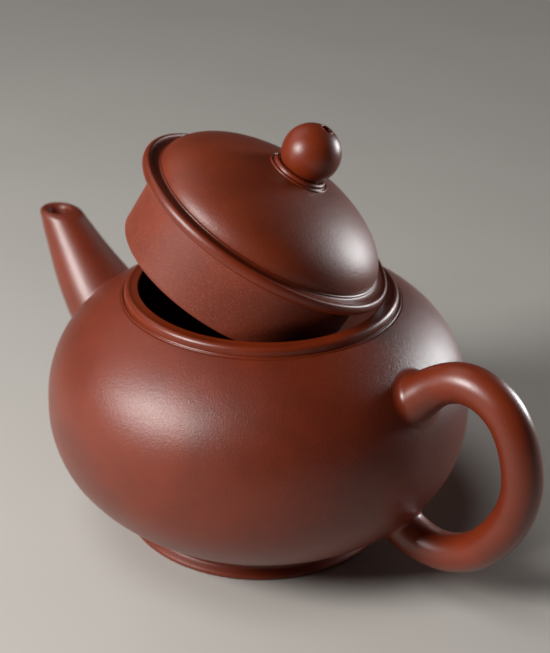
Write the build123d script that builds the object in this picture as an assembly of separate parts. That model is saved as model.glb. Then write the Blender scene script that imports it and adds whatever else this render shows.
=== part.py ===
from build123d import *
import math
import os

# Small unglazed red-clay teapot: squat round body on a low foot ring, straight
# tapered spout, round-section ear handle, domed lid with a deep flange and a
# ball knob.  Millimetres, +Z up.  The origin is on the body's axis, in the
# plane the foot ring stands on.  +X points to the handle, -X to the spout.
# The lid is modelled at rest, tipped up and propped in the mouth.

# ---------------------------------------------------------------- dimensions
# Body
BELLY_R = 39.0              # widest outer radius
BELLY_Z = 24.44             # height of the widest circle
UPPER_H = 25.35             # half height of the outer curve above the belly
LOWER_H = 25.45             # half height of the outer curve below the belly
UPPER_FULLNESS = 2.29       # curve exponents
LOWER_FULLNESS = 2.21
WALL = 2.6
POLE_WALL = WALL + 0.15     # wall thickness at the curve's top and bottom
POLE_GAP = 0.02             # the curves stop this far short of their poles
SHOULDER_Z = 41.0           # seam between wall and shoulder disc
SHOULDER_CUT_TOP = 60.0     # level above the whole body

# Radius, upper half height, lower half height
OUTER_OVAL = (BELLY_R, UPPER_H, LOWER_H)
INNER_OVAL = (BELLY_R - WALL, UPPER_H - POLE_WALL, LOWER_H - POLE_WALL)

# Foot ring and base disc
FOOT_TOP = 3.4              # seam between wall and foot ring
FOOT_R = 25.5               # widest radius
FOOT_IN_R = 21.6
FOOT_REST_IN_R = 22.3       # inner radius of the flat standing face
FOOT_IN_BEVEL_Z = 0.6       # top of the bevel inside the standing face
FOOT_EDGE = 0.5             # rounding of the lower outer edge
THROAT_LOW = 0.9            # lower end of the concave throat
THROAT_STEPS = 8
BASE_Z = 1.2                # underside of the base disc

# Mouth ring
MOUTH_IN_R = 22.25
MOUTH_OUT_R = 25.2
MOUTH_TOP = 46.9
MOUTH_LOW = 44.2            # lower end of the bore
SKIRT_LOW = 43.0            # lower end of the luted skirt
SKIRT_IN_R = 23.7
MOUTH_EDGE = 1.05           # rounding of the bore's edges
MOUTH_BROW = 1.53           # rounding of the outer shoulder
MOUTH_FALL = 0.09           # fall of the ring's top from bore to shoulder
MOUTH_HOLE_Z = 45.0         # middle of the cut through the shoulder disc
MOUTH_HOLE_H = 30.0

# Spout sections from above the pouring end down into the body: x, z of the
# centre, rise of the axis in degrees, half width, half height, bore radius
SPOUT_SECTIONS = [
    (-57.3, 50.4, 58.0, 2.75, 2.75, 1.60),
    (-54.6, 46.7, 56.0, 3.65, 3.55, 1.75),
    (-48.9, 38.7, 53.0, 5.62, 5.62, 2.90),
    (-43.0, 31.9, 46.0, 7.65, 7.05, 4.20),
    (-37.0, 26.55, 40.0, 8.80, 8.05, 5.60),
    (-31.0, 22.00, 37.0, 9.80, 8.80, 6.20),
]
SPOUT_ROOT = 4              # index of the section at the body wall
SPOUT_TIP_Z = 46.4          # level cut of the pouring lip
BORE_STRETCH = 0.01         # added to the bore's half height at each section
SPOUT_HOLE_R = 5.6          # opening through the body wall
SPOUT_HOLE_INSET = 6.0      # start of the opening's cutter, inward of the root
SPOUT_HOLE_L = 12.0

# Perforated ball behind the spout
STRAINER_R = 7.4
STRAINER_T = 1.2
STRAINER_HOLE_R = 0.85
STRAINER_DRILL_L = 12.0
STRAINER_STEP = 0.05        # step of the search for the ball's centre
STRAINER_AIM = 0.4          # share of the rise to the belly in the ball's aim
# Angle off the ball's aim, hole count, turn of the ring in radians
STRAINER_RINGS = [(0, 1, 0.0), (27, 6, 0.0), (54, 12, math.pi / 12)]

# Handle
HANDLE_R = 3.5
HANDLE_PATH = [             # x, z of the centre line, top joint to bottom joint
    (32.0, 33.6), (37.54, 39.75), (44.45, 43.23), (50.73, 41.29),
    (54.92, 34.71), (55.93, 26.56), (53.74, 18.88), (49.45, 12.73),
    (43.3, 9.25), (36.37, 9.57), (30.03, 13.22),
]
HANDLE_SWELLINGS = [        # x, z, radius: top joint, bottom joint
    (34.9, 37.1, 4.5),
    (34.8, 10.2, 4.0),
]

# Lid, upright, with the rim's underside in z = 0
LID_R = 24.7
RIM_IN_R = 19.0
RIM_H = 2.45
RIM_EDGE_TOP = 0.62         # rounding of the upper outer edge
RIM_EDGE_LOW = 1.8          # rounding of the lower outer edge
DOME_R = 21.8               # radius where the dome springs from the rim
DOME_H = 9.9
DOME_FULLNESS = 1.84        # curve exponent
DOME_T = 2.4
DOME_CROWN_T = DOME_T - 0.3  # fall of the rise from outside to inside
DOME_OVERCUT = 0.01         # drop of the hollow below the dome's foot
DOME_STEPS = 30
FLANGE_TOP_R = 21.42        # outer radius at the rim
FLANGE_LOW_R = 19.65        # outer radius at the lower edge
FLANGE_D = 11.5
FLANGE_T = 2.2
FLANGE_EDGE = 1.5           # rounding of the lower outer edge
KNOB_R = 5.25
KNOB_Z = 16.2               # height of the ball's centre
KNOB_CUT_TOP = 40.0         # level above the whole knob
COLLAR_R = 5.9
COLLAR_LOW = 10.0
COLLAR_SIDE_TOP = 11.9      # top of the straight side
COLLAR_EDGE_Z = 12.0        # centre height of the edge rounding
COLLAR_EDGE = 0.45
COLLAR_STEP_R = 4.5         # foot of the bevel up to the knob
COLLAR_TOP_R = 4.1
COLLAR_TOP = 12.75
VENT_R = 0.95               # steam hole through knob, collar and dome
VENT_Z = 12.0               # middle of the steam hole's cutter
VENT_L = 60.0

# Lid at rest
LID_TILT = 29.26            # lean, degrees
LID_LEAN = 36.0             # direction it leans to, degrees from +X
LID_SHIFT = 0.1             # offset toward its lean
LID_Z = 58.22               # height of the rim's underside centre

SLAB_SIDE = 120.0           # wider than the teapot body
FROM_BASE = (Align.CENTER, Align.CENTER, Align.MIN)


# ---------------------------------------------------------------- helpers
def turned(points, curve=None):
    """Turn a straight-sided (r, z) outline, or a spline that the points close."""
    with BuildPart() as part:
        with BuildSketch(Plane.XZ):
            with BuildLine():
                if curve:
                    Spline(*curve)
                Polyline(*points, close=not curve)
            make_face()
        revolve(axis=Axis.Z)
    return part.part


def arc_points(centre_r, centre_z, radius, start, end, steps=8):
    """Points on an arc between two angles in degrees."""
    angles = [math.radians(start + (end - start) * i / steps) for i in range(steps + 1)]
    return [(centre_r + radius * math.cos(a), centre_z + radius * math.sin(a))
            for a in angles]


def slab(z0, z1):
    return Pos(0, 0, (z0 + z1) / 2) * Box(SLAB_SIDE, SLAB_SIDE, z1 - z0)


def largest(shape):
    return shape.solids().sort_by(SortBy.VOLUME)[-1]


def oval_radius(z, radius, upper_h, lower_h):
    """Radius of a body curve at height z."""
    if z >= BELLY_Z:
        height, power = upper_h, UPPER_FULLNESS
    else:
        height, power = lower_h, LOWER_FULLNESS
    rest = 1.0 - (abs(z - BELLY_Z) / height) ** power
    return radius * max(rest, 0.0) ** (1.0 / power)


def oval_solid(radius, upper_h, lower_h, steps=40):
    """Turned body curve, with its points crowded toward the poles."""
    z0 = BELLY_Z - lower_h + POLE_GAP
    z1 = BELLY_Z + upper_h - POLE_GAP
    curve = []
    for i in range(steps + 1):
        z = z0 + (z1 - z0) * (0.5 - 0.5 * math.cos(math.pi * i / steps))
        curve.append((oval_radius(z, radius, upper_h, lower_h), z))
    return turned([curve[-1], (0, z1), (0, z0), curve[0]], curve)


# ---------------------------------------------------------------- shared shapes
full_outer = oval_solid(*OUTER_OVAL)
full_cavity = oval_solid(*INNER_OVAL)
shell = full_outer - full_cavity

# The spout's root, and the direction its axis runs outward
root_x, root_z, root_rise = SPOUT_SECTIONS[SPOUT_ROOT][:3]
axis_x = -math.cos(math.radians(root_rise))
axis_z = math.sin(math.radians(root_rise))


# ---------------------------------------------------------------- the body
def make_body_wall():
    plane = Plane(origin=(root_x - SPOUT_HOLE_INSET * axis_x, 0,
                          root_z - SPOUT_HOLE_INSET * axis_z),
                  z_dir=(axis_x, 0, axis_z))
    opening = plane.location * Cylinder(SPOUT_HOLE_R, SPOUT_HOLE_L, align=FROM_BASE)
    return (shell & slab(FOOT_TOP, SHOULDER_Z)) - opening


def make_shoulder_disc():
    hole = Pos(0, 0, MOUTH_HOLE_Z) * Cylinder(MOUTH_OUT_R, MOUTH_HOLE_H)
    return (shell & slab(SHOULDER_Z, SHOULDER_CUT_TOP)) - hole


def make_mouth_rim():
    """Rounded bead on a luted skirt."""
    edge_r = MOUTH_IN_R + MOUTH_EDGE
    return turned(
        arc_points(edge_r, MOUTH_TOP - MOUTH_EDGE, MOUTH_EDGE, 90, 180)
        + arc_points(edge_r, MOUTH_LOW + MOUTH_EDGE, MOUTH_EDGE, 180, 270)
        + [(SKIRT_IN_R, MOUTH_LOW), (SKIRT_IN_R, SKIRT_LOW), (MOUTH_OUT_R, SKIRT_LOW)]
        + arc_points(MOUTH_OUT_R - MOUTH_BROW, MOUTH_TOP - MOUTH_BROW - MOUTH_FALL,
                     MOUTH_BROW, 0, 80)
    )


def make_base_disc():
    return Pos(0, 0, (BASE_Z + FOOT_TOP) / 2) * Cylinder(FOOT_IN_R, FOOT_TOP - BASE_Z)


def make_foot_ring():
    """Ring with a concave throat flaring down to its standing face."""
    top_r = oval_radius(FOOT_TOP, *OUTER_OVAL)
    outline = [(FOOT_IN_R, FOOT_TOP), (top_r, FOOT_TOP)]
    for i in range(1, THROAT_STEPS + 1):
        angle = i / THROAT_STEPS * math.pi / 2
        outline.append((top_r + (FOOT_R - top_r) * (1 - math.cos(angle)),
                        FOOT_TOP - (FOOT_TOP - THROAT_LOW) * math.sin(angle)))
    outline += arc_points(FOOT_R - FOOT_EDGE, FOOT_EDGE, FOOT_EDGE, 0, -90, steps=5)
    outline += [(FOOT_REST_IN_R, 0.0), (FOOT_IN_R, FOOT_IN_BEVEL_Z)]
    return turned(outline)


# ---------------------------------------------------------------- the spout
def spout_section(x, z, rise, half_width, half_height):
    angle = math.radians(rise)
    plane = Plane(origin=(x, 0, z), x_dir=(0, 1, 0),
                  z_dir=(-math.cos(angle), 0, math.sin(angle)))
    if half_width == half_height:
        return plane * Circle(half_width)
    return plane * Ellipse(half_width, half_height)


def make_spout():
    outer = loft([spout_section(*row[:5]) for row in SPOUT_SECTIONS])
    bore = loft([spout_section(x, z, rise, bore_r, bore_r + BORE_STRETCH * i)
                 for i, (x, z, rise, _, _, bore_r) in enumerate(SPOUT_SECTIONS)])
    spout = (outer & slab(0.0, SPOUT_TIP_Z)) - full_outer - bore
    # Keep the outermost piece; the lofts run on into the body
    return spout.solids().sort_by(Axis.X)[0]


def make_ball_strainer():
    """Perforated part-ball, bulging into the body behind the spout."""
    # Walk inward along the spout's axis to the inner face of the wall
    x, z = root_x, root_z
    while abs(x) > oval_radius(z, *INNER_OVAL):
        x -= STRAINER_STEP * axis_x
        z -= STRAINER_STEP * axis_z
    ball = Sphere(STRAINER_R) - Sphere(STRAINER_R - STRAINER_T)
    strainer = (Pos(x, 0, z) * ball) & full_cavity

    inward = Vector(-x, 0, (BELLY_Z - z) * STRAINER_AIM).normalized()
    side = Vector(0, 1, 0)
    up = inward.cross(side)
    holes = None
    for ring_angle, count, turn in STRAINER_RINGS:
        spread = math.radians(ring_angle)
        for k in range(count):
            around = 2 * math.pi * k / count + turn
            radial = side * math.cos(around) + up * math.sin(around)
            aim = inward * math.cos(spread) + radial * math.sin(spread)
            plane = Plane(origin=(x, 0, z), z_dir=aim)
            drill = plane.location * Cylinder(STRAINER_HOLE_R, STRAINER_DRILL_L,
                                              align=FROM_BASE)
            holes = drill if holes is None else holes + drill
    return largest(strainer - holes)


# ---------------------------------------------------------------- the handle
def make_handle():
    """Round rod with a ball swelling at each joint, trimmed to the body."""
    path = Spline(*[(x, 0, z) for x, z in HANDLE_PATH])
    start = Plane(origin=path @ 0, z_dir=path % 0)
    handle = sweep(start * Circle(HANDLE_R), path=path)
    for x, z, radius in HANDLE_SWELLINGS:
        handle = handle + Pos(x, 0, z) * Sphere(radius)
    return largest(handle - full_outer)


# ---------------------------------------------------------------- the lid
def dome_solid(radius, rise, z0):
    curve = []
    for i in range(DOME_STEPS):
        r = radius * math.cos(math.pi / 2 * i / DOME_STEPS)
        rest = max(1 - (r / radius) ** DOME_FULLNESS, 0.0)
        curve.append((r, z0 + rise * rest ** (1 / DOME_FULLNESS)))
    curve.append((0.0, z0 + rise))
    return turned([curve[-1], (0, z0), curve[0]], curve)


vent = Pos(0, 0, VENT_Z) * Cylinder(VENT_R, VENT_L)
full_dome = dome_solid(DOME_R, DOME_H, RIM_H)


def make_lid_dome():
    hollow = dome_solid(DOME_R - DOME_T, DOME_H - DOME_CROWN_T, RIM_H - DOME_OVERCUT)
    return full_dome - hollow - vent


def make_lid_rim():
    low_r = LID_R - RIM_EDGE_LOW
    return turned(
        [(RIM_IN_R, 0.0), (low_r, 0.0)]
        + arc_points(low_r, RIM_EDGE_LOW, RIM_EDGE_LOW, -90, 0)[1:]
        + arc_points(LID_R - RIM_EDGE_TOP, RIM_H - RIM_EDGE_TOP, RIM_EDGE_TOP, 0, 90)
        + [(RIM_IN_R, RIM_H)]
    )


def make_lid_flange():
    edge_z = FLANGE_EDGE - FLANGE_D
    return turned(
        [(FLANGE_TOP_R - FLANGE_T, 0.0), (FLANGE_TOP_R, 0.0), (FLANGE_LOW_R, edge_z)]
        + arc_points(FLANGE_LOW_R - FLANGE_EDGE, edge_z, FLANGE_EDGE, 0, -90)[1:]
        + [(FLANGE_LOW_R - FLANGE_T, -FLANGE_D)]
    )


def make_knob_collar():
    collar = turned(
        [(VENT_R, COLLAR_LOW), (COLLAR_R, COLLAR_LOW), (COLLAR_R, COLLAR_SIDE_TOP)]
        + arc_points(COLLAR_R - COLLAR_EDGE, COLLAR_EDGE_Z, COLLAR_EDGE, 0, 90, steps=5)
        + [(COLLAR_STEP_R, COLLAR_EDGE_Z + COLLAR_EDGE), (COLLAR_TOP_R, COLLAR_TOP),
           (VENT_R, COLLAR_TOP)]
    )
    return largest(collar - full_dome - vent)


def make_knob():
    """Ball cut level where it sits on the collar."""
    ball = Pos(0, 0, KNOB_Z) * Sphere(KNOB_R)
    return (ball & slab(COLLAR_TOP, KNOB_CUT_TOP)) - vent


# ---------------------------------------------------------------- output
lean = math.radians(LID_LEAN)
lid_place = (Pos(LID_SHIFT * math.cos(lean), LID_SHIFT * math.sin(lean), LID_Z)
             * Rot(0, 0, LID_LEAN) * Rot(0, LID_TILT, 0))

pieces = {
    "body_wall": make_body_wall(),
    "shoulder_disc": make_shoulder_disc(),
    "mouth_rim": make_mouth_rim(),
    "base_disc": make_base_disc(),
    "foot_ring": make_foot_ring(),
    "spout": make_spout(),
    "ball_strainer": make_ball_strainer(),
    "handle": make_handle(),
    "lid_dome": lid_place * make_lid_dome(),
    "lid_rim": lid_place * make_lid_rim(),
    "lid_flange": lid_place * make_lid_flange(),
    "knob_collar": lid_place * make_knob_collar(),
    "knob": lid_place * make_knob(),
}

os.makedirs("parts", exist_ok=True)
for name, shape in pieces.items():
    export_step(shape, os.path.join("parts", name + ".step"))
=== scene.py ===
"""Red-clay teapot, looks only.

The pot stands on the floor with its axis on +Z, the handle towards +X and the spout
towards -X.  The lid is a second body, modelled upright and then placed tilted on the
mouth.  Lengths are in millimetres and become metres when a mesh is built.
"""
import bpy
import bmesh
import math
import numpy as np
from mathutils import Matrix, Vector


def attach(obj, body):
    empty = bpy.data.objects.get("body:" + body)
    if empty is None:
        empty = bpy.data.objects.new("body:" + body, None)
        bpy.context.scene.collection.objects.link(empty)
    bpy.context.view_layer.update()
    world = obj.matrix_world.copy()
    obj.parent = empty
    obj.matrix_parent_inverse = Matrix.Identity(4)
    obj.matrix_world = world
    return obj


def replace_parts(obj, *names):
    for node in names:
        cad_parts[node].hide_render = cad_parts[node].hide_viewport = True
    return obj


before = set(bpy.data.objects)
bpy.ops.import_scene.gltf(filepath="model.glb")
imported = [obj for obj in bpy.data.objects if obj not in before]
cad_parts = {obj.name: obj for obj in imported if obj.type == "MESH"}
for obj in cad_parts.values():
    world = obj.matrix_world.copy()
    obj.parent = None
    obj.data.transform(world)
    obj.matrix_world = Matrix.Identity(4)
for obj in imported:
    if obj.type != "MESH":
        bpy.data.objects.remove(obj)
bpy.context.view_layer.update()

scene = bpy.context.scene
MM = 0.001

# ---------------------------------------------------------------- dimensions
# body: an upper and a lower superellipse meeting at the belly (height, exponent)
BELLY_R, BELLY_Z = 39.0, 24.44
UPPER_H, UPPER_N = 25.35, 2.29
LOWER_H, LOWER_N = 25.45, 2.21
WALL = 2.6
INNER_DROP = WALL + 0.15        # how much lower each half is on the inside
MOUTH_R = 22.25
SEAM_Z = 3.3                    # where the shell starts above the foot

# spout stations, tip to root: centre x, centre z, rise in degrees,
# outer half width, outer half height, bore radius
SPOUT = np.array([
    (-57.3, 50.4, 58.0, 2.75, 2.75, 1.60),
    (-54.6, 46.7, 56.0, 3.65, 3.55, 1.75),
    (-48.9, 38.7, 53.0, 5.62, 5.62, 2.90),
    (-43.0, 31.9, 46.0, 7.65, 7.05, 4.20),
    (-37.0, 26.55, 40.0, 8.80, 8.05, 5.60),
    (-31.0, 22.00, 37.0, 9.80, 8.80, 6.20),
])
SPOUT_TIP_Z = 46.4
LIP_OUT, LIP_IN = 1.05, 0.9     # length of the rounded lip down the outside and the bore
LIP_PULL = 0.60                 # fullness of the lip's curve

# handle centre line, upper joint to lower joint: x, z
HANDLE = np.array([
    (32.0, 33.6), (37.54, 39.75), (44.5, 43.23), (50.91, 41.29), (55.27, 34.71),
    (56.39, 26.56), (54.06, 18.88), (49.64, 12.73), (43.34, 9.25), (36.37, 9.57),
    (30.03, 13.22),
])
HANDLE_R = 3.47
UPPER_JOINT, LOWER_JOINT = (34.9, 37.1), (34.8, 10.2)

# lid, in its own upright frame
LID_R, LID_BORE_R = 24.7, 19.2
FLANGE_R, FLANGE_DEPTH = 21.45, 12.0
DOME_R, DOME_Z, DOME_H, DOME_N, DOME_T = 21.8, 2.45, 9.9, 1.84, 2.4
DOME_INNER_R = DOME_R - DOME_T
KNOB_R, KNOB_Z = 5.25, 16.2
VENT_R = 0.95
LID_Z, LID_SHIFT = 58.22, 0.1
LID_HEADING, LID_TILT = math.radians(36.0), math.radians(29.26)
LID_PLACE = (Matrix.Translation((LID_SHIFT * math.cos(LID_HEADING),
                                 LID_SHIFT * math.sin(LID_HEADING), LID_Z))
             @ Matrix.Rotation(LID_HEADING, 4, "Z") @ Matrix.Rotation(LID_TILT, 4, "Y"))

# mesh density
TURN_SIDES = 384
COLLAR_SIDES, KNOB_SIDES = 192, 224
SPOUT_SIDES, HANDLE_SIDES, CUTTER_SIDES = 144, 112, 96
ARC_STEP = 0.16                 # longest step on a rounded corner

SIDEWAYS = np.array([0.0, 1.0, 0.0])


# ---------------------------------------------------------------- small maths
def unit(v):
    return v / np.maximum(np.linalg.norm(v, axis=-1, keepdims=True), 1e-12)


def smoothstep(x, start, end):
    t = np.clip((np.asarray(x, float) - start) / (end - start), 0, 1)
    return t * t * (3 - 2 * t)


def transformed(points, matrix):
    m = np.array(matrix)
    return points @ m[:3, :3].T + m[:3, 3]


def circle_angles(count):
    return np.arange(count) * 2 * math.pi / count


def bezier_at(q, p0, p1, p2, p3):
    return (1 - q) ** 3 * p0 + 3 * (1 - q) ** 2 * q * p1 + 3 * (1 - q) * q ** 2 * p2 + q ** 3 * p3


def run_length(points):
    """Distance travelled along axis 0, for one line or for many side by side."""
    steps = np.linalg.norm(np.diff(points, axis=0), axis=-1)
    return np.concatenate([np.zeros_like(steps[:1]), np.cumsum(steps, axis=0)])


def resample(points, count):
    run = run_length(points)
    stations = np.linspace(0, run[-1], count)
    return np.stack([np.interp(stations, run, column) for column in points.T], axis=-1)


def cubic(x, y):
    """Natural cubic spline through the rows of y at stations x."""
    n = len(x)
    h = np.diff(x)
    a = np.zeros((n, n))
    b = np.zeros(y.shape)
    a[0, 0] = a[-1, -1] = 1
    for i in range(1, n - 1):
        a[i, i - 1], a[i, i], a[i, i + 1] = h[i - 1], 2 * (h[i - 1] + h[i]), h[i]
        b[i] = 6 * ((y[i + 1] - y[i]) / h[i] - (y[i] - y[i - 1]) / h[i - 1])
    bend = np.linalg.solve(a, b)

    def at(t):
        i = np.clip(np.searchsorted(x, t) - 1, 0, n - 2)
        before = (t - x[i])[:, None]
        after = (x[i + 1] - t)[:, None]
        gap = h[i][:, None]
        return (bend[i] * after ** 3 / (6 * gap) + bend[i + 1] * before ** 3 / (6 * gap)
                + (y[i] / gap - bend[i] * gap / 6) * after
                + (y[i + 1] / gap - bend[i + 1] * gap / 6) * before)
    return at


# ---------------------------------------------------------------- the body's shape
def half_shape(rise):
    """Height and exponent of the half that each rise above the belly falls in."""
    upper = rise >= 0
    return np.where(upper, UPPER_H, LOWER_H), np.where(upper, UPPER_N, LOWER_N)


def body_r(z, inset_r=0.0, inset_h=0.0):
    rise = np.asarray(z, float) - BELLY_Z
    height, power = half_shape(rise)
    t = np.clip(1 - (np.abs(rise) / (height - inset_h)) ** power, 0, 1)
    return (BELLY_R - inset_r) * t ** (1 / power)


def body_field(p):
    """Below 0 inside the body's outer surface, above 0 outside."""
    r = np.hypot(p[..., 0], p[..., 1]) / BELLY_R
    rise = p[..., 2] - BELLY_Z
    height, power = half_shape(rise)
    return r ** power + (np.abs(rise) / height) ** power - 1


def body_gradient(p):
    e = 1e-3
    return np.stack([(body_field(p + axis * e) - body_field(p - axis * e)) / (2 * e)
                     for axis in np.eye(3)], axis=-1)


def on_body(p):
    """Points moved onto the body's outer surface."""
    for _ in range(8):
        g = body_gradient(p)
        p = p - (body_field(p) / np.maximum((g ** 2).sum(-1), 1e-12))[..., None] * g
    return p


# ---------------------------------------------------------------- hand-made unevenness
# a sum of slow waves, shared by every piece: wavelength, number of waves, height
WAVE_BANDS = ((46.0, 5, 0.050), (21.0, 7, 0.022), (9.5, 9, 0.0075))
rng = np.random.default_rng(11)
WAVES = []
for wavelength, wave_count, wave_height in WAVE_BANDS:
    for _ in range(wave_count):
        direction = unit(rng.normal(size=3)) * 2 * math.pi / wavelength
        WAVES.append((direction, rng.uniform(0, 2 * math.pi), wave_height))


def uneven(p):
    return sum(height * np.sin(p @ direction + phase) for direction, phase, height in WAVES)


def hand_pot(p):
    """Moves pot surfaces in or out a few hundredths, less at the mouth, none at the foot."""
    d = uneven(p) * (1 - 0.85 * smoothstep(p[:, 2], 42, 46)) * smoothstep(p[:, 2], 0.2, 5)
    return p + unit(p - np.array([0, 0, BELLY_Z])) * d[:, None]


def hand_lid(p):
    """The same for the lid, on a shifted part of the waves and flat near the rim."""
    d = uneven(p + 70.0) * 0.55 * smoothstep(p[:, 2], 1.5, 6)
    return p + unit(p - np.array([0, 0, -8.0])) * d[:, None]


# ---------------------------------------------------------------- outlines, points (r, z)
def rounded(corners, closed=False):
    """Outline through corners (r, z, rounding radius); the radius may be left out."""
    pts = [np.array(p[:2], float) for p in corners]
    radii = [p[2] if len(p) > 2 else 0.0 for p in corners]
    out = []
    n = len(pts)
    for i, corner in enumerate(pts):
        if radii[i] <= 0 or (not closed and i in (0, n - 1)):
            out.append(corner)
            continue
        before, after = pts[i - 1] - corner, pts[(i + 1) % n] - corner
        len_before, len_after = np.linalg.norm(before), np.linalg.norm(after)
        u, v = before / len_before, after / len_after
        angle = math.acos(max(-1, min(1, float(u @ v))))
        if angle > math.pi - 0.02:
            out.append(corner)
            continue
        # the arc may use just under half of either neighbouring run
        trim = min(radii[i] / math.tan(angle / 2), 0.495 * len_before, 0.495 * len_after)
        radius = trim * math.tan(angle / 2)
        centre = corner + (u + v) / np.linalg.norm(u + v) * radius / math.sin(angle / 2)
        first, last = corner + u * trim - centre, corner + v * trim - centre
        a0, a1 = math.atan2(first[1], first[0]), math.atan2(last[1], last[0])
        while a1 - a0 > math.pi:
            a1 -= 2 * math.pi
        while a1 - a0 < -math.pi:
            a1 += 2 * math.pi
        steps = max(5, int(math.ceil(abs(a1 - a0) * radius / ARC_STEP)))
        for j in range(steps + 1):
            a = a0 + (a1 - a0) * j / steps
            out.append(centre + radius * np.array([math.cos(a), math.sin(a)]))
    return out


def filled(points, step, closed=True):
    """Adds points to long straight runs so that shading stays even."""
    pts = [np.asarray(p, float) for p in points]
    out = []
    n = len(pts)
    for i in range(n if closed else n - 1):
        a, b = pts[i], pts[(i + 1) % n]
        d = np.linalg.norm(b - a)
        if d < 1e-5:
            continue
        k = max(1, int(math.ceil(d / step)))
        out += [a + (b - a) * j / k for j in range(k)]
    if not closed:
        out.append(pts[-1])
    return out


def bezier(p0, p1, p2, p3, steps):
    q = np.linspace(0, 1, steps + 1)[:, None]
    return list(bezier_at(q, *(np.array(p, float) for p in (p0, p1, p2, p3))))


def arc(r, z, radius, start, end, steps, height=None):
    """Arc about (r, z) between angles in degrees; height is the half axis along z."""
    height = radius if height is None else height
    out = []
    for i in range(steps + 1):
        a = math.radians(start + (end - start) * i / steps)
        out.append(np.array([r + radius * math.cos(a), z + height * math.sin(a)]))
    return out


def even(points, step):
    """Open curve resampled at an even spacing."""
    points = np.array(points, float)
    return list(resample(points, max(2, int(round(run_length(points)[-1] / step))) + 1))


# ---------------------------------------------------------------- meshes
def wall_faces(rows, sides, loop):
    faces = []
    for i in range(rows if loop else rows - 1):
        here, there = i * sides, (i + 1) % rows * sides
        for k in range(sides):
            m = (k + 1) % sides
            faces.append((here + k, here + m, there + m, there + k))
    return faces


def turned(outline, sides=TURN_SIDES, axis_ends=False):
    """Surface of revolution of a closed outline, or of one with both ends on the axis."""
    outline = np.array(outline, float)
    angles = circle_angles(sides)
    rows = outline[1:-1] if axis_ends else outline
    n = len(rows)
    points = np.stack([np.outer(rows[:, 0], np.cos(angles)), np.outer(rows[:, 0], np.sin(angles)),
                       np.repeat(rows[:, 1][:, None], sides, 1)], -1).reshape(-1, 3)
    faces = wall_faces(n, sides, loop=not axis_ends)
    if axis_ends:
        a, b = len(points), len(points) + 1
        points = np.vstack([points, [0, 0, outline[0, 1]], [0, 0, outline[-1, 1]]])
        for k in range(sides):
            m = (k + 1) % sides
            faces.append((a, m, k))
            faces.append((b, (n - 1) * sides + k, (n - 1) * sides + m))
    return points, faces


def ring_grid(rings, caps=None):
    """Closed mesh over rings of equal count, joined in a loop or capped by two end points."""
    rows, sides = len(rings), len(rings[0])
    points = np.vstack(rings)
    faces = wall_faces(rows, sides, loop=caps is None)
    if caps is not None:
        a, last = len(points), (rows - 1) * sides
        points = np.vstack([points, *caps])
        faces += [(a, (k + 1) % sides, k) for k in range(sides)]
        faces += [(a + 1, last + k, last + (k + 1) % sides) for k in range(sides)]
    return points, faces


def new_mesh(name, points, faces, smooth=True):
    """Mesh in metres with its normals outward."""
    mesh = bpy.data.meshes.new(name)
    mesh.from_pydata((points * MM).tolist(), [], faces)
    bm = bmesh.new()
    bm.from_mesh(mesh)
    bmesh.ops.recalc_face_normals(bm, faces=bm.faces)
    if bm.calc_volume(signed=True) < 0:
        bmesh.ops.reverse_faces(bm, faces=bm.faces)
    for face in bm.faces:
        face.smooth = smooth
    bm.to_mesh(mesh)
    bm.free()
    return mesh


def add_object(name, data):
    ob = bpy.data.objects.new(name, data)
    scene.collection.objects.link(ob)
    return ob


def make(name, points, faces, body, replaced, materials, pick=None):
    """Builds a piece and ties it to its body.  pick(face centres) gives material indices."""
    mesh = new_mesh(name, points, faces)
    for material in materials:
        mesh.materials.append(material)
    if pick is not None:
        centres = np.zeros(len(mesh.polygons) * 3)
        mesh.polygons.foreach_get("center", centres)
        indices = pick(centres.reshape(-1, 3) / MM).astype(np.int32)
        mesh.polygons.foreach_set("material_index", indices)
    ob = add_object(name, mesh)
    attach(ob, body)
    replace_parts(ob, replaced) if isinstance(replaced, str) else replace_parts(ob, *replaced)
    return ob


def pot_piece(name, grid, replaced, materials, pick=None):
    points, faces = grid
    return make(name, hand_pot(points), faces, "pot", replaced, materials, pick)


def lid_piece(name, outline, replaced, materials, sides=TURN_SIDES, pick=None):
    points, faces = turned(outline, sides)
    points = transformed(hand_lid(points), LID_PLACE)
    return make(name, points, faces, "lid", replaced, materials, pick)


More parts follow.
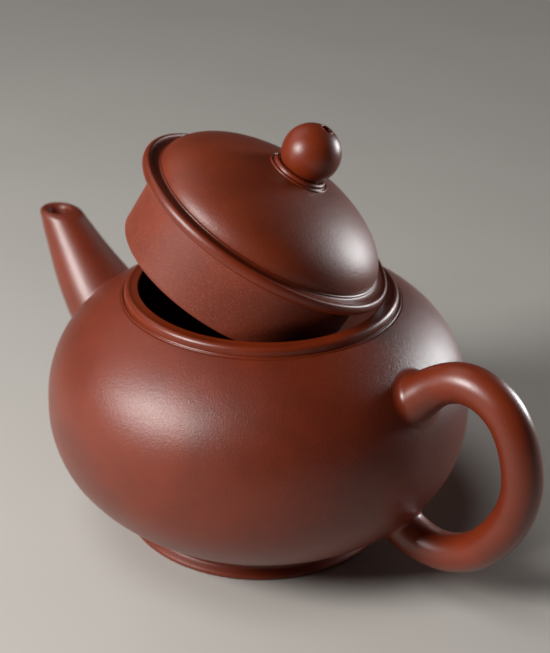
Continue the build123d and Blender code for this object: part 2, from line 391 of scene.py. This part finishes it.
# ---------------------------------------------------------------- materials
class Shader:
    """Short-hand for a node material; positions and lengths are in millimetres."""

    def __init__(self, name):
        self.material = bpy.data.materials.new(name)
        self.material.use_nodes = True
        self.tree = self.material.node_tree
        self.surface = next(n for n in self.tree.nodes if n.type == "BSDF_PRINCIPLED")
        coords = self.tree.nodes.new("ShaderNodeTexCoord")
        self.place = self.vector("SCALE", coords.outputs["Object"], Scale=1 / MM)

    def put(self, socket, value):
        if isinstance(value, bpy.types.NodeSocket):
            self.tree.links.new(value, socket)
        else:
            socket.default_value = value

    def set(self, values):
        for socket, value in values.items():
            self.put(self.surface.inputs[socket], value)

    def add(self, kind, inputs, **settings):
        node = self.tree.nodes.new("ShaderNode" + kind)
        for key, value in settings.items():
            setattr(node, key, value)
        for socket, value in inputs.items():
            self.put(node.inputs[socket], value)
        return node

    def vector(self, operation, a, b=None, **inputs):
        values = {0: a} if b is None else {0: a, 1: b}
        node = self.add("VectorMath", {**values, **inputs}, operation=operation)
        return node.outputs["Value" if operation in ("LENGTH", "DISTANCE") else "Vector"]

    def math(self, operation, a, b=0.0):
        return self.add("Math", {0: a, 1: b, 2: 0.0}, operation=operation).outputs[0]

    def swing(self, value, amount):
        """A 0-1 value spread evenly about 0."""
        return self.math("MULTIPLY", self.math("SUBTRACT", value, 0.5), amount)

    def noise(self, scale, detail=2.0, roughness=0.5, place=None, distortion=0.0):
        place = self.place if place is None else place
        return self.add("TexNoise", {"Vector": place, "Scale": scale, "Detail": detail,
                                     "Roughness": roughness, "Distortion": distortion}).outputs[0]

    def cells(self, scale, place=None):
        """Distance to the cell's centre and two random values per cell."""
        place = self.place if place is None else place
        node = self.add("TexVoronoi", {"Vector": place, "Scale": scale})
        split = self.add("SeparateColor", {0: node.outputs["Color"]})
        return node.outputs["Distance"], split.outputs[0], split.outputs[1]

    def ramp(self, value, start, end, low=0.0, high=1.0):
        return self.add("MapRange", {0: value, 1: start, 2: end, 3: low, 4: high},
                        interpolation_type="SMOOTHSTEP").outputs[0]

    def fall(self, value, start, end):
        return self.ramp(value, start, end, low=1.0, high=0.0)

    def dots(self, distance, random, start, end, share):
        """Round marks in the given share of the cells."""
        return self.math("MULTIPLY", self.fall(distance, start, end),
                         self.math("LESS_THAN", random, share))

    def mix(self, factor, a, b):
        return self.add("Mix", {0: factor, 6: a, 7: b}, data_type="RGBA").outputs[2]

    def gain(self, colour, factor):
        return self.add("HueSaturation", {"Value": factor, "Color": colour}).outputs[0]

    def bump(self, height, depth, normal=None):
        inputs = {"Strength": 1.0, "Distance": depth * MM, "Height": height}
        if normal is not None:
            inputs["Normal"] = normal
        return self.add("Bump", inputs).outputs[0]


def rgb(*channels):
    """sRGB 0-255 to linear."""
    def linear(c):
        c /= 255.0
        return c / 12.92 if c <= 0.04045 else ((c + 0.055) / 1.055) ** 2.4
    return (*map(linear, channels), 1.0)


# burnishing streaks at the upper and lower handle joints: centre x, centre z, radius
STREAKS = ((33.0, 36.0, 17.0), (34.0, 15.0, 15.0))
STREAK_DEPTH = 0.022


def clay(name, warm=(112, 37, 8), deep=(97, 31, 7), rough=0.44, coat=0.12, peel=0.0132,
         grain=0.0204, sand=0.0, streaks=(), level=0.38):
    """Burnished fine red clay: slow drift between two colours, fine grain, a skin like
    orange peel and sparse light sand that stands proud.  peel and grain are bump depths,
    sand is the extra share of cells with a light grain."""
    s = Shader(name)
    cloud = s.noise(scale=0.045, detail=3, roughness=0.55, distortion=0.4)
    mottle = s.noise(scale=0.32, detail=4, roughness=0.6)
    fine = s.noise(scale=4.2, detail=3, roughness=0.6)
    colour = s.mix(s.ramp(cloud, start=0.34, end=0.66), rgb(*deep), rgb(*warm))
    value = s.math("ADD", s.swing(mottle, amount=0.22), s.swing(fine, amount=0.16))
    colour = s.gain(colour, s.math("ADD", value, 1.0))
    # rare darker iron spots
    distance, random, _ = s.cells(scale=0.85)
    spot = s.dots(distance, random, start=0.06, end=0.13, share=0.08)
    colour = s.mix(s.math("MULTIPLY", spot, 0.55), colour, rgb(58, 26, 20))
    # light grains of varied size
    distance, random, size = s.cells(scale=5.0, place=s.vector("ADD", s.place, (31.0, 7.0, 12.0)))
    light = s.dots(distance, random, start=s.math("MULTIPLY", size, 0.24), end=0.36,
                   share=0.06 + sand)
    light_tint = 0.12 + 0.24 * min(1.0, sand * 3)
    colour = s.mix(s.math("MULTIPLY", light, light_tint), colour, rgb(196, 148, 126))
    # roughness drifts with burnishing and is higher on the light grains
    burnish = s.noise(scale=0.11, detail=3, roughness=0.5, distortion=0.6)
    drift = s.math("ADD", s.swing(burnish, amount=0.14), s.swing(fine, amount=0.12))
    drift = s.math("ADD", drift, s.math("MULTIPLY", light, 0.12))
    # skin
    skin = s.noise(scale=1.7, detail=2, roughness=0.5, distortion=0.3)
    normal = s.bump(skin, depth=peel)
    normal = s.bump(s.noise(scale=4.6, detail=3, roughness=0.6), depth=grain, normal=normal)
    for x, z, radius in streaks:
        near = s.fall(s.vector("DISTANCE", s.place, (x, 0.0, z)), radius * 0.35, radius)
        stretched = s.vector("MULTIPLY", s.place, (1.0, 1.0, 0.22))
        streak = s.noise(scale=0.85, detail=2, roughness=0.45, place=stretched, distortion=0.5)
        normal = s.bump(s.math("MULTIPLY", streak, near), depth=STREAK_DEPTH, normal=normal)
    normal = s.bump(light, depth=0.006 + 0.016 * min(1.0, sand * 4), normal=normal)
    s.set({"Base Color": colour, "Roughness": s.math("ADD", drift, rough), "IOR": 1.50,
           "Specular IOR Level": level, "Coat Weight": coat, "Coat Roughness": 0.31,
           "Coat IOR": 1.45, "Normal": normal, "Coat Normal": normal})
    return s.material


def raw_clay(name):
    """Unburnished clay of the inside and the base: matt, open grain, faint trimming rings."""
    s = Shader(name)
    cloud = s.noise(scale=0.06, detail=3, roughness=0.6)
    fine = s.noise(scale=3.0, detail=4, roughness=0.65)
    colour = s.mix(s.ramp(cloud, start=0.3, end=0.7), rgb(78, 34, 23), rgb(96, 43, 29))
    colour = s.gain(colour, s.math("ADD", s.swing(fine, amount=0.35), 1.0))
    distance, random, _ = s.cells(scale=1.5)
    fleck = s.dots(distance, random, start=0.08, end=0.20, share=0.18)
    colour = s.mix(s.math("MULTIPLY", fleck, 0.5), colour, rgb(170, 118, 92))
    roughness = s.math("ADD", s.swing(fine, amount=0.2), 0.66)
    # trimming rings follow the distance from the pot's axis, with a slow wander
    radius = s.vector("LENGTH", s.vector("MULTIPLY", s.place, (1.0, 1.0, 0.0)))
    wander = s.math("MULTIPLY", s.noise(scale=0.2), 2.5)
    rings = s.math("SINE", s.math("ADD", s.math("MULTIPLY", radius, 4.4), wander))
    normal = s.bump(fine, depth=0.05, normal=s.bump(rings, depth=0.012))
    s.set({"Base Color": colour, "Roughness": roughness, "Normal": normal})
    return s.material


BODY_CLAY = clay("clay_body", streaks=STREAKS, rough=0.47, coat=0.52, peel=0.0216, grain=0.051)
MOUTH_CLAY = clay("clay_mouth_ring", rough=0.36, coat=0.28)
SPOUT_CLAY = clay("clay_spout", rough=0.47, coat=0.45, level=0.5)
HANDLE_CLAY = clay("clay_handle", warm=(118, 41, 12), deep=(104, 35, 11), rough=0.38, coat=0.60,
                   peel=0.0084)
DOME_CLAY = clay("clay_lid_dome", warm=(118, 43, 14), deep=(102, 36, 12), rough=0.48, coat=0.28,
                 peel=0.018, grain=0.0372)
RIM_CLAY = clay("clay_lid_rim", rough=0.40, coat=0.26, peel=0.0108)
FLANGE_CLAY = clay("clay_lid_flange", warm=(120, 47, 24), deep=(106, 40, 21), rough=0.52,
                   coat=0.05, peel=0.012, grain=0.036, sand=0.34)
KNOB_CLAY = clay("clay_knob", warm=(116, 41, 15), deep=(102, 35, 14), rough=0.37, coat=0.18,
                 peel=0.006)
FOOT_CLAY = clay("clay_foot", rough=0.42, coat=0.18)
RAW = raw_clay("clay_raw")
RAW_STRAINER = raw_clay("clay_raw_strainer")


# ---------------------------------------------------------------- turned parts of the pot
def build_shell():
    """Outer curve from the foot seam to the mouth, then back down the inside."""
    z = np.concatenate([np.linspace(SEAM_Z, 44.0, 900), np.linspace(44.0, 45.6, 400)])
    r = body_r(z)
    kept = (r >= 25.18 - 1e-9) | (z < 20)       # ends under the mouth ring
    outer = even(np.column_stack([r, z])[kept], 0.5)
    z = np.linspace(42.6, SEAM_Z, 1200)
    r = body_r(z, inset_r=WALL, inset_h=INNER_DROP)
    kept = (r < 25.1) | (z < 40)                # a straight run just below the mouth
    inner = even(np.column_stack([r, z])[kept], 1.0)
    outline = (outer + filled([outer[-1], inner[0]], 0.5, closed=False)[1:-1]
               + inner + filled([inner[-1], outer[0]], 1.0, closed=False)[1:-1])

    def inside_is_raw(centres):
        return (body_field(centres) < -0.035).astype(int)

    return pot_piece("body_shell", turned(outline), ("body_wall", "shoulder_disc"),
                     [BODY_CLAY, RAW], pick=inside_is_raw)


def cut_spout_opening(shell):
    """Round opening behind the spout, on the line and bore of the spout's fifth station."""
    root_x, root_z, rise, _, _, bore = SPOUT[4]
    rise = math.radians(rise)
    axis = np.array([-math.cos(rise), 0, math.sin(rise)])
    upward = np.array([math.sin(rise), 0, math.cos(rise)])
    angles = circle_angles(CUTTER_SIDES)[:, None]
    start = np.array([root_x, 0, root_z]) - 7 * axis
    length = 16
    rings = [start + axis * along_axis
             + bore * (np.cos(angles) * SIDEWAYS + np.sin(angles) * upward)
             for along_axis in (0, 6, length)]
    points, faces = ring_grid(rings, caps=(start, start + axis * length))
    cutter_mesh = new_mesh("cutter", points, faces, smooth=False)
    cutter = add_object("cutter", cutter_mesh)
    cut = shell.modifiers.new("spout_opening", "BOOLEAN")
    cut.operation = "DIFFERENCE"
    cut.solver = "EXACT"
    cut.object = cutter
    depsgraph = bpy.context.evaluated_depsgraph_get()
    cut_mesh = bpy.data.meshes.new_from_object(shell.evaluated_get(depsgraph))
    whole_mesh = shell.data
    shell.modifiers.clear()
    shell.data = cut_mesh
    bpy.data.meshes.remove(whole_mesh)
    bpy.data.objects.remove(cutter)
    bpy.data.meshes.remove(cutter_mesh)


def build_mouth_ring():
    outline = rounded([
        (MOUTH_R, 44.2, 0.9), (23.7, 44.2, 0.2), (23.7, 43.0), (25.1, 43.0), (25.1, 44.80),
        (25.28, 44.95), (25.28, 45.12, 0.05)])
    # bead at the shoulder, groove, then the rounded lip
    outline += arc(25.11, 45.19, radius=0.17, start=5, end=165, steps=8)
    outline += rounded([(24.91, 45.22), (24.82, 45.19, 0.07), (24.74, 45.32, 0.08),
                        (24.73, 45.55)])
    outline += arc(23.88, 45.99, radius=0.85, height=0.90, start=0, end=90, steps=14)
    outline += rounded([
        (23.78, 46.885), (23.50, 46.81, 0.35), (22.75, 46.84, 0.4), (22.40, 46.89, 0.12),
        (MOUTH_R, 46.81, 0.10), (MOUTH_R, 46.2)])
    pot_piece("mouth_ring", turned(filled(outline, 0.4)), ("mouth_rim",), [MOUTH_CLAY])


def build_foot():
    """Foot ring, flowing out of the body's own curve at the top."""
    top_z = 4.4
    slope = np.array([body_r(top_z + 0.1) - body_r(top_z), 0.1])
    slope = slope / np.linalg.norm(slope)
    outward = np.array([slope[1], -slope[0]])
    top = np.array([float(body_r(top_z)), top_z])
    waist = (24.15, 2.45)
    outline = [(21.6, 3.6), (24.0, 4.7), top + slope * 0.45 - outward * 0.07]
    outline += bezier(top, top - slope * 0.95, (24.15, 3.30), waist, steps=14)
    outline += rounded([
        waist, (24.20, 1.75, 0.9), (25.28, 0.98, 0.22), (25.5, 0.55, 0.35),
        (25.22, 0.0, 0.35), (22.3, 0.0, 0.5), (21.6, 0.7, 0.5), (21.6, 1.6)])
    pot_piece("foot", turned(filled(outline, 0.4)), ("foot_ring",), [FOOT_CLAY])


def build_base():
    """Disc closing the pot inside the foot ring, underside first."""
    outline = [(0.0, 1.62), (6.0, 1.60), (12.0, 1.54), (17.0, 1.44), (19.4, 1.34)]
    outline += bezier((19.4, 1.34), (20.7, 1.28), (21.35, 1.15), (21.62, 0.72), steps=10)[1:]
    outline += [(21.75, 0.72), (21.75, 3.3), (21.4, 3.42), (15.6, 3.42), (8.0, 3.38), (0.0, 3.36)]
    points, faces = turned(filled(outline, 0.6, closed=False), axis_ends=True)
    make("base", points, faces, "pot", ("base_disc",), [RAW])


# ---------------------------------------------------------------- tubes rooted on the body
# a tube is an array of lines along it: (station, side, xyz), with run lengths (station, side)
def along(lines, run, at):
    """Point of each line at its own run length."""
    return np.array([[np.interp(at[k], run[:, k], lines[:, k, c]) for c in range(3)]
                     for k in range(lines.shape[1])])


def rings_between(lines, run, start, end, fractions):
    return [along(lines, run, start + (end - start) * q) for q in fractions]


def rooted(lines, outward, reach, spread, steps):
    """Fillet from a tube onto the body.  The lines run from outside the body to inside;
    the fillet takes reach of the tube and spread of the body.  Gives the run lengths,
    the run length where the fillet starts, and its rings."""
    run = run_length(lines)
    field = body_field(lines)
    inside = field < 0
    inside[0] = False
    i, k = np.argmax(inside, axis=0), np.arange(lines.shape[1])
    w = field[i - 1, k] / (field[i - 1, k] - field[i, k])
    cross = run[i - 1, k] + w * (run[i, k] - run[i - 1, k])
    hit = lines[i - 1, k] + w[:, None] * (lines[i, k] - lines[i - 1, k])
    radial = outward[i, k]

    start = along(lines, run, cross - reach)
    inward = unit(along(lines, run, cross - reach + 0.05) - along(lines, run, cross - reach - 0.05))
    normal = unit(body_gradient(hit))
    away = unit(radial - (radial * normal).sum(-1, keepdims=True) * normal)
    end = on_body(hit + away * spread)
    normal = unit(body_gradient(end))
    end_away = unit(away - (away * normal).sum(-1, keepdims=True) * normal)
    # control arms that follow a circular arc through the corner's angle
    theta = np.arccos(np.clip((-inward * away).sum(-1), -1, 1))
    ratio = 4 / 3 * np.tan((math.pi - theta) / 4) * np.tan(theta / 2)
    ratio = np.clip(ratio, 0.25, 0.75)
    p1 = start + inward * (ratio * reach)[:, None]
    p2 = end - end_away * (ratio * spread)[:, None]
    rings = [bezier_at(q, start, p1, p2, end) for q in np.linspace(0, 1, steps + 1)]
    # the skirt slips just under the body's surface, then dives into the wall
    skirt = on_body(end + end_away * 0.45)
    normal = unit(body_gradient(skirt))
    rings += [skirt - normal * 0.035, skirt - normal * 0.9]
    return run, cross - reach, rings


def from_level(lines, level):
    """Lines cut to start at the height level, evenly resampled."""
    cut = []
    for k in range(lines.shape[1]):
        z = lines[:, k, 2]
        i = int(np.argmax(z < level))
        w = (z[i - 1] - level) / (z[i - 1] - z[i])
        first = lines[i - 1, k] + w * (lines[i, k] - lines[i - 1, k])
        cut.append(resample(np.vstack([first, lines[i:, k]]), 700))
    return np.stack(cut, axis=1)


def build_spout():
    angles = circle_angles(SPOUT_SIDES)
    stations = np.linspace(0.2, 5.0, 900)
    x, z, rise, half_width, half_height, bore = cubic(np.arange(6.0), SPOUT)(stations).T
    rise = np.radians(rise)
    zero = np.zeros(len(stations))
    centre = np.stack([x, zero, z], -1)
    upward = np.stack([np.sin(rise), zero, np.cos(rise)], -1)

    def oval_tube(width, height):
        lines = (centre[:, None] + (width[:, None] * np.cos(angles))[..., None] * SIDEWAYS
                 + (height[:, None] * np.sin(angles))[..., None] * upward[:, None])
        return from_level(lines, SPOUT_TIP_Z)

    outer = oval_tube(half_width, half_height)
    inner = oval_tube(bore, bore)
    outward = unit(outer - outer.mean(axis=1, keepdims=True))
    run_out, end_out, root_rings = rooted(outer, outward, reach=2.3, spread=2.2, steps=14)
    run_in = run_length(inner)
    end_in = run_in[np.argmax(body_field(inner) < -0.05, axis=0), np.arange(SPOUT_SIDES)]

    def lip_start(lines, run, length):
        """Where the lip leaves the surface, and the direction towards the tip there."""
        point = along(lines, run, np.full(SPOUT_SIDES, length))
        return point, unit(along(lines, run, np.full(SPOUT_SIDES, length - 0.2)) - point)

    lip_out, tipward_out = lip_start(outer, run_out, LIP_OUT)
    lip_in, tipward_in = lip_start(inner, run_in, LIP_IN)
    crest = outer[0] * 0.55 + inner[0] * 0.45
    across = unit(inner[0] - outer[0])
    half_out = np.linalg.norm(crest - outer[0], axis=1)[:, None]
    half_in = np.linalg.norm(crest - inner[0], axis=1)[:, None]

    # bore from the body up, over the lip, down the outside and onto the body
    rings = rings_between(inner, run_in, LIP_IN, end_in, np.linspace(1, 0, 46))
    rings += [bezier_at(q, lip_in, lip_in + tipward_in * LIP_IN * LIP_PULL,
                        crest + across * half_in * LIP_PULL, crest)
              for q in np.linspace(0, 1, 8)[1:]]
    rings += [bezier_at(q, crest, crest - across * half_out * LIP_PULL,
                        lip_out + tipward_out * LIP_OUT * LIP_PULL, lip_out)
              for q in np.linspace(0, 1, 10)[1:]]
    rings += rings_between(outer, run_out, LIP_OUT, end_out, np.linspace(0, 1, 76)[1:-1])
    pot_piece("spout_shell", ring_grid(rings + root_rings), ("spout",), [SPOUT_CLAY])


def build_handle():
    chord = run_length(HANDLE)
    stations = np.linspace(0, chord[-1], 1500)
    line = cubic(chord, HANDLE)(stations)
    tangent = unit(np.gradient(line, stations, axis=0))
    run = run_length(line)
    upper, lower = (run[np.argmin(np.linalg.norm(line - np.array(joint), axis=1))]
                    for joint in (UPPER_JOINT, LOWER_JOINT))

    # the lower joint widens a little, the upper end thins a little
    radius = HANDLE_R + 0.30 * smoothstep(run, lower - 7.0, lower + 1.5)
    radius = radius - 0.20 * smoothstep(-(run - upper), 0.0, 3.0)
    # a knuckle swells at the upper joint, most at the sides, least on the loop's outside
    angles = circle_angles(HANDLE_SIDES)
    swell = np.exp(-(np.maximum(run - upper, 0) / 3.9) ** 2)
    swell = swell[:, None] * (0.40 + 0.85 * np.cos(angles) ** 2
                              + 0.25 * np.maximum(-np.sin(angles), 0))[None]
    zero = np.zeros(len(stations))
    centre = np.stack([line[:, 0], zero, line[:, 1]], -1)
    loop_out = np.stack([-tangent[:, 1], zero, tangent[:, 0]], -1)
    outward = (np.cos(angles)[None, :, None] * SIDEWAYS
               + np.sin(angles)[None, :, None] * loop_out[:, None])
    tube = centre[:, None] + (radius[:, None] + swell)[..., None] * outward

    # each half runs from the middle of the handle to its joint
    middle = len(stations) // 2
    upper_tube, lower_tube = tube[:middle][::-1], tube[middle - 1:]
    upper_run, upper_end, upper_root = rooted(upper_tube, outward[:middle][::-1],
                                              reach=1.25, spread=1.35, steps=10)
    lower_run, lower_end, lower_root = rooted(lower_tube, outward[middle - 1:],
                                              reach=0.9, spread=0.9, steps=12)
    count = 92
    rings = upper_root[::-1]
    rings += rings_between(upper_tube, upper_run, 0, upper_end, np.linspace(1, 0, count)[1:-1])
    rings += rings_between(lower_tube, lower_run, 0, lower_end, np.linspace(0, 1, count)[:-1])
    rings += lower_root

    def cap_point(ring):
        """Point inside the body's wall behind an end ring."""
        point = on_body(ring.mean(0)[None])
        return point - unit(body_gradient(point)) * 1.3

    caps = (cap_point(rings[0]), cap_point(rings[-1]))
    pot_piece("handle_loop", ring_grid(rings, caps), ("handle",), [HANDLE_CLAY])


cut_spout_opening(build_shell())
build_mouth_ring()
build_foot()
build_base()
build_spout()
build_handle()

# the perforated ball stays as modelled, with its own clay
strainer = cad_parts["ball_strainer"]
strainer.data.materials.clear()
strainer.data.materials.append(RAW_STRAINER)


# ---------------------------------------------------------------- the lid
def dome_z(r, radius=DOME_R, rise=DOME_H, foot_z=DOME_Z):
    r = np.asarray(r, float)
    return foot_z + rise * np.clip(1 - (r / radius) ** DOME_N, 0, 1) ** (1 / DOME_N)


def build_dome():
    vent, edge = math.asin(VENT_R / DOME_R), math.pi / 2
    r = DOME_R * np.sin(np.linspace(vent, edge, 1200))
    outer = even(np.column_stack([r, dome_z(r)]), 0.4)
    vent = math.asin(VENT_R / DOME_INNER_R)
    r = DOME_INNER_R * np.sin(np.linspace(edge, vent, 900))
    z = dome_z(r, DOME_INNER_R, rise=DOME_H - DOME_T + 0.3, foot_z=DOME_Z - 0.2)
    inner = even(np.column_stack([r, z]), 0.8)
    outline = outer + [(DOME_R, 2.15)] + inner
    to_upright = LID_PLACE.inverted()

    def underside_is_raw(centres):
        p = transformed(centres, to_upright)
        r = np.hypot(p[:, 0], p[:, 1])
        limit = dome_z(np.minimum(r, DOME_R - 0.001)) - 1.0
        return ((p[:, 2] < limit) & (r < DOME_R - 0.8)).astype(int)

    lid_piece("dome", filled(outline, 0.7), ("lid_dome",), [DOME_CLAY, RAW],
              pick=underside_is_raw)


def build_rim():
    edge_radius = 0.68
    outline = rounded([
        (LID_BORE_R, 0.3), (LID_BORE_R, -0.05, 0.1), (21.55, -0.05), (21.62, -0.30, 0.10),
        (21.86, -0.28, 0.10), (22.0, 0.05, 0.15), (23.3, 0.02, 0.3), (23.6, 0.02)])
    outline += arc(LID_R - edge_radius, 1.30, radius=edge_radius, height=1.02,
                   start=-95, end=104, steps=28)
    outline += bezier((23.80, 2.25), (23.64, 2.14), (23.48, 2.06), (23.22, 2.03), steps=8)
    outline += bezier((23.10, 2.02), (22.75, 2.00), (22.48, 2.02), (22.24, 2.09), steps=8)
    outline += rounded([(22.16, 2.12), (22.07, 2.16, 0.05), (21.97, 2.42, 0.20), (21.70, 2.56)])
    outline += [(21.5, 2.62), (21.2, 2.28), (LID_BORE_R, 2.28)]
    lid_piece("rim", filled(outline, 0.4), ("lid_rim",), [RIM_CLAY])


def build_flange():
    outline = rounded([
        (LID_BORE_R, 0.05), (FLANGE_R, 0.05), (FLANGE_R, 0.0),
        (FLANGE_R - 0.03, -FLANGE_DEPTH, 0.42), (LID_BORE_R - 0.05, -FLANGE_DEPTH, 0.6),
    ], closed=True)
    lid_piece("flange", filled(outline, 0.5), ("lid_flange",), [FLANGE_CLAY])


def build_collar():
    """Two small beads where the knob meets the dome."""
    outline = [(VENT_R, 12.0), (VENT_R + 0.3, 11.5), (4.6, 11.5), (5.2, 11.55), (5.66, 11.72)]
    outline += arc(5.48, 11.99, radius=0.20, start=-25, end=165, steps=10)
    outline += rounded([(5.27, 12.07), (5.16, 12.03, 0.08), (5.03, 12.13, 0.10), (5.01, 12.30)])
    outline += arc(4.55, 12.36, radius=0.46, start=5, end=150, steps=12)
    outline += [(3.95, 12.62), (3.5, 12.64), (VENT_R, 12.64)]
    lid_piece("collar", filled(outline, 0.3), ("knob_collar",), [KNOB_CLAY], COLLAR_SIDES)


def build_knob():
    lowest = -math.asin((KNOB_Z - 12.95) / KNOB_R)
    highest = math.acos((VENT_R + 0.20) / KNOB_R)
    ball = [np.array([KNOB_R * math.cos(a), KNOB_Z + KNOB_R * math.sin(a)])
            for a in np.linspace(lowest, highest, 64)]
    top_z = ball[-1][1]
    outline = [(VENT_R, 12.4), (3.6, 12.4)]
    # the neck runs from the first of these points into the ball
    outline += neck_curve(ball[0])
    outline += ball
    outline += arc(VENT_R + 0.22, top_z - 0.17, radius=0.22, start=80, end=180, steps=6)
    outline += [(VENT_R, top_z - 0.8)]
    lid_piece("knob_ball", filled(outline, 0.35), ("knob",), [KNOB_CLAY], KNOB_SIDES)


def neck_curve(ball_start):
    return bezier((3.85, 12.45), (3.86, 12.66), (3.96, 12.80), ball_start, steps=6)[:-1]


build_dome()
build_rim()
build_flange()
build_collar()
build_knob()


# ---------------------------------------------------------------- floor
def build_floor(half=3.0, drop=0.02 * MM):
    """Square floor in metres, a hair below the foot."""
    mesh = bpy.data.meshes.new("floor")
    corners = [(-half, -half, 0), (half, -half, 0), (half, half, 0), (-half, half, 0)]
    mesh.from_pydata(corners, [], [(0, 1, 2, 3)])
    ob = add_object("floor", mesh)
    ob.location.z = -drop
    s = Shader("pale_floor")
    cloud = s.noise(scale=0.02, detail=3, roughness=0.5)
    s.set({"Base Color": s.mix(cloud, rgb(167, 163, 157), rgb(175, 171, 165)),
           "Roughness": 0.75})
    mesh.materials.append(s.material)
    return ob


floor = build_floor()


# ---------------------------------------------------------------- lights, in metres
def build_world(ambient=0.035, seen_extra=0.20):
    """Pale when seen straight on by the camera, only a faint light on the pot."""
    world = bpy.data.worlds.new("studio")
    scene.world = world
    world.use_nodes = True
    tree = world.node_tree
    background = next(n for n in tree.nodes if n.type == "BACKGROUND")
    background.inputs["Color"].default_value = (0.86, 0.85, 0.84, 1)
    background.inputs["Strength"].default_value = ambient
    path = tree.nodes.new("ShaderNodeLightPath")
    strength = tree.nodes.new("ShaderNodeMath")
    strength.operation = "MULTIPLY_ADD"
    tree.links.new(path.outputs["Is Camera Ray"], strength.inputs[0])
    strength.inputs[1].default_value = seen_extra
    strength.inputs[2].default_value = ambient
    tree.links.new(strength.outputs[0], background.inputs["Strength"])


def turn_back_to(ob, direction):
    """Turns the light's back (+Z) to the direction, so that it shines the other way."""
    ob.rotation_mode = "QUATERNION"
    ob.rotation_quaternion = direction.to_track_quat("Z", "Y")


def soft_box(name, place, aim, diameter, watts, colour=(1, 1, 1)):
    light = bpy.data.lights.new(name, "AREA")
    light.shape = "ELLIPSE"
    light.size = light.size_y = diameter
    light.energy = watts
    light.color = colour
    ob = add_object(name, light)
    ob.location = Vector(place)
    turn_back_to(ob, Vector(place) - Vector(aim))
    return ob


def link_to_floor(light, collection_name):
    receivers = bpy.data.collections.new(collection_name)
    receivers.objects.link(floor)
    light.light_linking.receiver_collection = receivers
    return receivers


build_world()
soft_box("key_left", place=(-0.135, -0.330, 0.245), aim=(0.0, 0.0, 0.035), diameter=0.165,
         watts=2.5, colour=(1.0, 0.985, 0.97))
side_light = soft_box("side_right", place=(0.12, 0.38, 0.10), aim=(0.01, 0.0, 0.05),
                      diameter=0.14, watts=1.2, colour=(0.97, 0.985, 1.0))
# the low side light misses the floor, so it leaves no hot spot there
misses = link_to_floor(side_light, "side_light_misses")
misses.collection_objects[0].light_linking.link_state = "EXCLUDE"
soft_box("top_fill", place=(-0.40, -0.04, 0.50), aim=(0.0, 0.0, 0.04), diameter=0.50, watts=0.50)

# an even wash on the floor alone keeps it pale out to the horizon
wash_data = bpy.data.lights.new("floor_wash", "SUN")
wash_data.energy = 0.80
wash_data.angle = math.radians(30)
wash = add_object("floor_wash", wash_data)
turn_back_to(wash, Vector((-0.14, -0.30, 0.90)))
link_to_floor(wash, "floor_only")


# ---------------------------------------------------------------- camera
EYE = np.array([146.73, -174.86, 155.42])
LOOK_AT = np.array([1.976, 1.658, 38.43])
ROLL = math.radians(1.58)


def build_camera():
    data = bpy.data.cameras.new("camera")
    camera = add_object("camera", data)
    back = unit(EYE - LOOK_AT)
    level_right = unit(np.cross([0, 0, 1.0], back))
    level_up = np.cross(back, level_right)
    right = math.cos(ROLL) * level_right + math.sin(ROLL) * level_up
    up = -math.sin(ROLL) * level_right + math.cos(ROLL) * level_up
    rows = np.column_stack([right, up, back, EYE * MM]).tolist()
    camera.matrix_world = Matrix([*rows, [0, 0, 0, 1]])
    data.sensor_width = 36.0
    data.lens = 77.18
    data.clip_start, data.clip_end = 0.01, 20.0
    scene.camera = camera
    focus = bpy.data.objects.new("focus_mark", None)
    focus.location = (0.026, -0.030, 0.034)
    scene.collection.objects.link(focus)
    data.dof.use_dof = True
    data.dof.focus_object = focus
    data.dof.aperture_fstop = 34.0


build_camera()
scene.view_settings.view_transform = "Standard"
scene.view_settings.look = "None"
